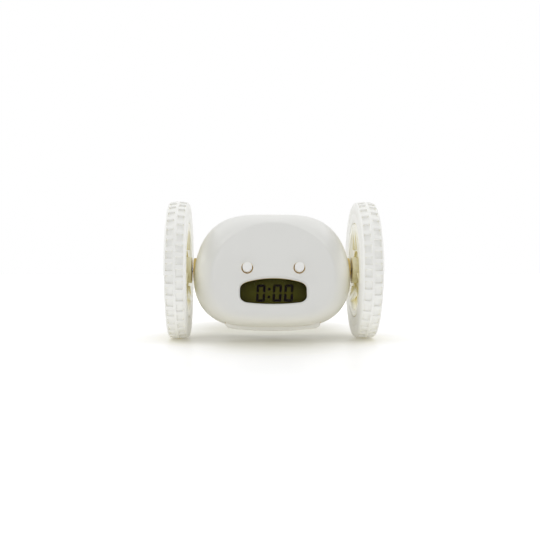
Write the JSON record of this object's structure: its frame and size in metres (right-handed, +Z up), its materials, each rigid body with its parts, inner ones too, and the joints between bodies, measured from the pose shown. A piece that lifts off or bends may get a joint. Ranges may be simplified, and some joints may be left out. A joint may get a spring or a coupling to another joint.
{
  "type": "rolling alarm clock",
  "caption": "Egg-shaped digital alarm clock body hung on one axle line between large treaded drive wheels, with round face buttons, a top snooze button and a battery door below.",
  "frame": {"origin": "on the floor plane, midway between the two tyres and under the axle line", "axes": "+X along the axle to the right as seen on the face, -Y to the front, +Z up"},
  "size_m": [0.1328, 0.089, 0.089],
  "materials": {
    "shell_plastic": "white gloss moulded housing",
    "button_plastic": "white gloss keys and bushes",
    "tyre_rubber": "white soft rubber with a block tread",
    "rim_plastic": "white rim plastic, warm in its shade",
    "window_plastic": "clear window over the display",
    "lcd_glass": "dark olive display cell",
    "board_green": "green circuit board",
    "gear_plastic": "natural nylon gears",
    "inner_plastic": "grey moulded inner parts",
    "steel": "plain steel",
    "brass": "turned brass",
    "dark_plastic": "black moulded switches and speaker",
    "cell_jacket": "plain dark cell jacket",
    "connector_rubber": "grey contact strip"
  },
  "bodies": {
    "housing": {"battery_1": "cell_jacket", "battery_2": "cell_jacket", "battery_3": "cell_jacket", "battery_4": "cell_jacket", "chassis": "inner_plastic", "display_window": "window_plastic", "front_shell": "shell_plastic", "lcd_connector": "connector_rubber", "lcd_frame": "inner_plastic", "lcd_panel": "lcd_glass", "left_axle_bush": "button_plastic", "left_battery_contact": "steel", "left_eye_switch": "dark_plastic", "left_first_pin": "steel", "left_gearbox_inner_plate": "inner_plastic", "left_gearbox_outer_plate": "inner_plastic", "left_lower_screw": "steel", "left_motor": "steel", "left_second_pin": "steel", "left_upper_screw": "steel", "main_board": "board_green", "rear_board": "board_green", "rear_shell": "shell_plastic", "right_axle_bush": "button_plastic", "right_battery_contact": "steel", "right_eye_switch": "dark_plastic", "right_first_pin": "steel", "right_gearbox_inner_plate": "inner_plastic", "right_gearbox_outer_plate": "inner_plastic", "right_lower_screw": "steel", "right_motor": "steel", "right_second_pin": "steel", "right_upper_screw": "steel", "snooze_board": "board_green", "snooze_spring": "steel", "snooze_switch": "dark_plastic", "speaker": "dark_plastic"},
    "snooze_button": {"snooze_button": "button_plastic"},
    "battery_door": {"battery_door": "shell_plastic"},
    "alarm_switch": {"alarm_switch": "dark_plastic"},
    "left_wheel": {"left_tyre": "tyre_rubber", "left_wheel_rim": "rim_plastic", "left_axle": "steel", "left_output_gear": "gear_plastic", "left_wheel_screw": "steel"},
    "left_second_gear": {"left_second_gear": "gear_plastic"},
    "left_first_gear": {"left_first_gear": "gear_plastic"},
    "left_motor_pinion": {"left_motor_pinion": "brass"},
    "left_eye_button": {"left_eye_button": "button_plastic"},
    "left_rear_button": {"left_rear_button": "button_plastic"},
    "right_wheel": {"right_tyre": "tyre_rubber", "right_wheel_rim": "rim_plastic", "right_axle": "steel", "right_output_gear": "gear_plastic", "right_wheel_screw": "steel"},
    "right_second_gear": {"right_second_gear": "gear_plastic"},
    "right_first_gear": {"right_first_gear": "gear_plastic"},
    "right_motor_pinion": {"right_motor_pinion": "brass"},
    "right_eye_button": {"right_eye_button": "button_plastic"},
    "right_rear_button": {"right_rear_button": "button_plastic"}
  },
  "joints": [
    {"name": "left_wheel_spin", "type": "hinge", "parent": "housing", "child": "left_wheel", "pos_m": [-0.0599, 0, 0.04448], "axis": [1, 0, 0], "continuous": true},
    {"name": "left_second_gear_spin", "type": "hinge", "parent": "housing", "child": "left_second_gear", "pos_m": [-0.0358, 0.00771, 0.03529], "axis": [1, 0, 0], "continuous": true},
    {"name": "left_first_gear_spin", "type": "hinge", "parent": "housing", "child": "left_first_gear", "pos_m": [-0.0332, -0.00115, 0.02844], "axis": [1, 0, 0], "continuous": true},
    {"name": "left_motor_pinion_spin", "type": "hinge", "parent": "housing", "child": "left_motor_pinion", "pos_m": [-0.0332, -0.00295, 0.03868], "axis": [1, 0, 0], "continuous": true},
    {"name": "right_wheel_spin", "type": "hinge", "parent": "housing", "child": "right_wheel", "pos_m": [0.0599, 0, 0.04448], "axis": [1, 0, 0], "continuous": true},
    {"name": "right_second_gear_spin", "type": "hinge", "parent": "housing", "child": "right_second_gear", "pos_m": [0.0358, 0.00771, 0.03529], "axis": [1, 0, 0], "continuous": true},
    {"name": "right_first_gear_spin", "type": "hinge", "parent": "housing", "child": "right_first_gear", "pos_m": [0.0332, -0.00115, 0.02844], "axis": [1, 0, 0], "continuous": true},
    {"name": "right_motor_pinion_spin", "type": "hinge", "parent": "housing", "child": "right_motor_pinion", "pos_m": [0.0332, -0.00295, 0.03868], "axis": [1, 0, 0], "continuous": true},
    {"name": "snooze_press", "type": "slide", "parent": "housing", "child": "snooze_button", "axis": [0, 0, -1], "range_m": [0, 0.0012], "stiffness_N_per_m": 400, "springref_m": -0.001, "deforming": ["snooze_spring"]},
    {"name": "left_eye_press", "type": "slide", "parent": "housing", "child": "left_eye_button", "axis": [0, 0.9746, -0.2241], "range_m": [0, 0.001], "stiffness_N_per_m": 300, "springref_m": -0.001},
    {"name": "left_rear_press", "type": "slide", "parent": "housing", "child": "left_rear_button", "axis": [0, -1, 0], "range_m": [0, 0.001], "stiffness_N_per_m": 300, "springref_m": -0.001},
    {"name": "right_eye_press", "type": "slide", "parent": "housing", "child": "right_eye_button", "axis": [0, 0.9746, -0.2241], "range_m": [0, 0.001], "stiffness_N_per_m": 300, "springref_m": -0.001},
    {"name": "right_rear_press", "type": "slide", "parent": "housing", "child": "right_rear_button", "axis": [0, -1, 0], "range_m": [0, 0.001], "stiffness_N_per_m": 300, "springref_m": -0.001},
    {"name": "alarm_slide", "type": "slide", "parent": "housing", "child": "alarm_switch", "axis": [1, 0, 0], "range_m": [-0.002, 0.002]},
    {"name": "door_drop", "type": "slide", "parent": "housing", "child": "battery_door", "axis": [0, 0, -1], "range_m": [0, 0.004]}
  ],
  "couplings": [
    {"joint": "left_second_gear_spin", "follows": "left_wheel_spin", "ratio": -2.75},
    {"joint": "left_first_gear_spin", "follows": "left_wheel_spin", "ratio": 6.875},
    {"joint": "left_motor_pinion_spin", "follows": "left_wheel_spin", "ratio": -15.469},
    {"joint": "right_second_gear_spin", "follows": "right_wheel_spin", "ratio": -2.75},
    {"joint": "right_first_gear_spin", "follows": "right_wheel_spin", "ratio": 6.875},
    {"joint": "right_motor_pinion_spin", "follows": "right_wheel_spin", "ratio": -15.469}
  ]
}
